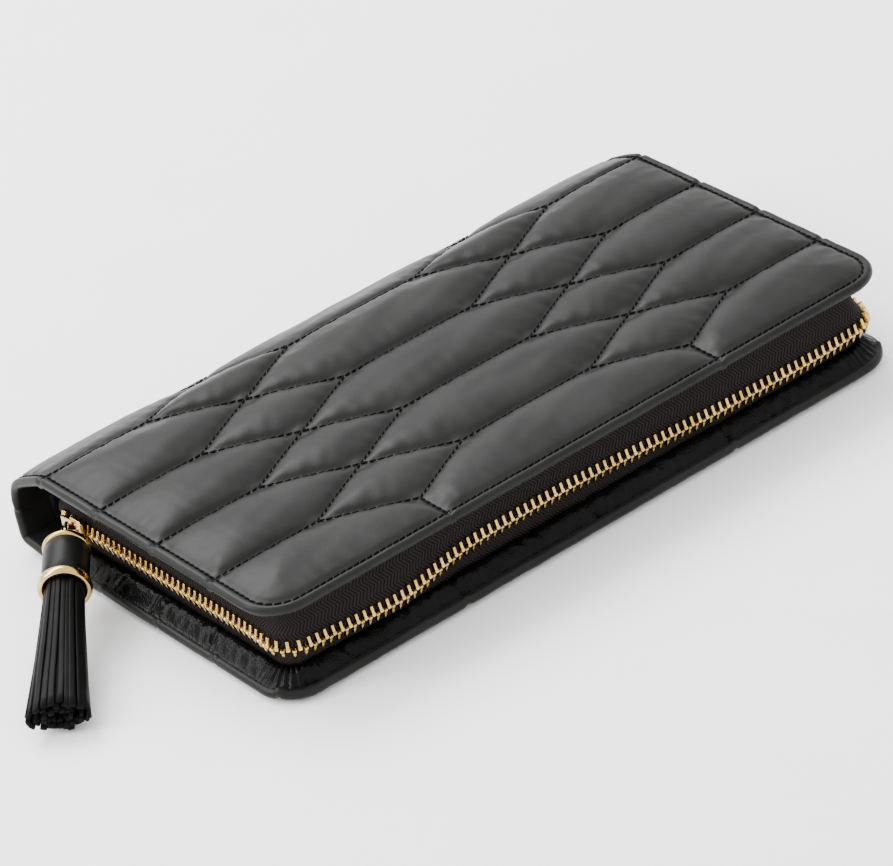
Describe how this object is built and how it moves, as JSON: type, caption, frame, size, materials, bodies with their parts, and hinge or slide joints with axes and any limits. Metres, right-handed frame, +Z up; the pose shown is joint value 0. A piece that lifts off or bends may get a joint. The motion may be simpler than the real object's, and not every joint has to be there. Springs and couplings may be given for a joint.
{
  "type": "zip-round jewellery case",
  "caption": "Quilted leather jewellery case with a folding lid, a round zip with a sliding pull and tassel, ring rolls and a divided tray",
  "frame": {"origin": "middle of the face that the closed case rests on", "axes": "+X along the long zip side to the right, -Y to the front, +Y to the folded spine, +Z up"},
  "size_m": [0.2967, 0.1399, 0.0352],
  "materials": {
    "black_leather": "smooth quilted nappa leather, soft sheen",
    "board": "grey-brown stiff board",
    "suede_lining": "stone-grey microsuede",
    "zip_tape": "woven herringbone zip tape",
    "gold_metal": "polished pale gold plating",
    "tassel_core": "plain turned plug"
  },
  "bodies": {
    "base": {"base_quilt": "black_leather", "base_turned_edge": "black_leather", "base_board": "board", "base_lining": "suede_lining", "lower_zip_tape": "zip_tape", "lower_zip_teeth": "gold_metal", "lower_zip_stops": "gold_metal", "tray_wall": "suede_lining", "tray_divider_long": "suede_lining", "tray_divider_cross": "suede_lining", "ring_rolls": "suede_lining"},
    "spine": {"spine_quilt": "black_leather", "spine_lining": "suede_lining"},
    "lid": {"lid_quilt": "black_leather", "lid_turned_edge": "black_leather", "lid_board": "board", "lid_lining": "suede_lining", "upper_zip_tape": "zip_tape", "upper_zip_teeth": "gold_metal", "upper_zip_stops": "gold_metal", "slip_pocket": "suede_lining", "pocket_binding": "black_leather", "necklace_strip": "black_leather", "necklace_tabs": "black_leather", "necklace_snaps": "gold_metal"},
    "slider": {"slider_body": "gold_metal", "slider_bridge": "gold_metal"},
    "link": {"pull_link": "gold_metal"},
    "tassel": {"tassel_eye": "gold_metal", "tassel_top_cap": "gold_metal", "tassel_barrel": "black_leather", "tassel_core": "tassel_core", "tassel_band": "gold_metal", "tassel_fringe": "black_leather"}
  },
  "joints": [
    {"name": "spine_fold", "type": "hinge", "parent": "base", "child": "spine", "pos_m": [0, 0.06931, 0.00139], "axis": [-1, 0, 0], "range_deg": [0, 90]},
    {"name": "lid_fold", "type": "hinge", "parent": "spine", "child": "lid", "pos_m": [0, 0.06523, 0.02973], "axis": [-1, 0, 0], "range_deg": [0, 90]},
    {"name": "slider_slide", "type": "slide", "parent": "base", "child": "slider", "axis": [0, -1, 0], "range_m": [0, 0.08]},
    {"name": "link_swing", "type": "hinge", "parent": "slider", "child": "link", "pos_m": [-0.1181, 0.0385, 0.0176], "axis": [0, 0, 1], "range_deg": [-90, 5]},
    {"name": "tassel_swing", "type": "hinge", "parent": "link", "child": "tassel", "pos_m": [-0.12213, 0.03353, 0.0186], "axis": [-0.7771, 0.6293, 0], "range_deg": [0, 45]}
  ]
}
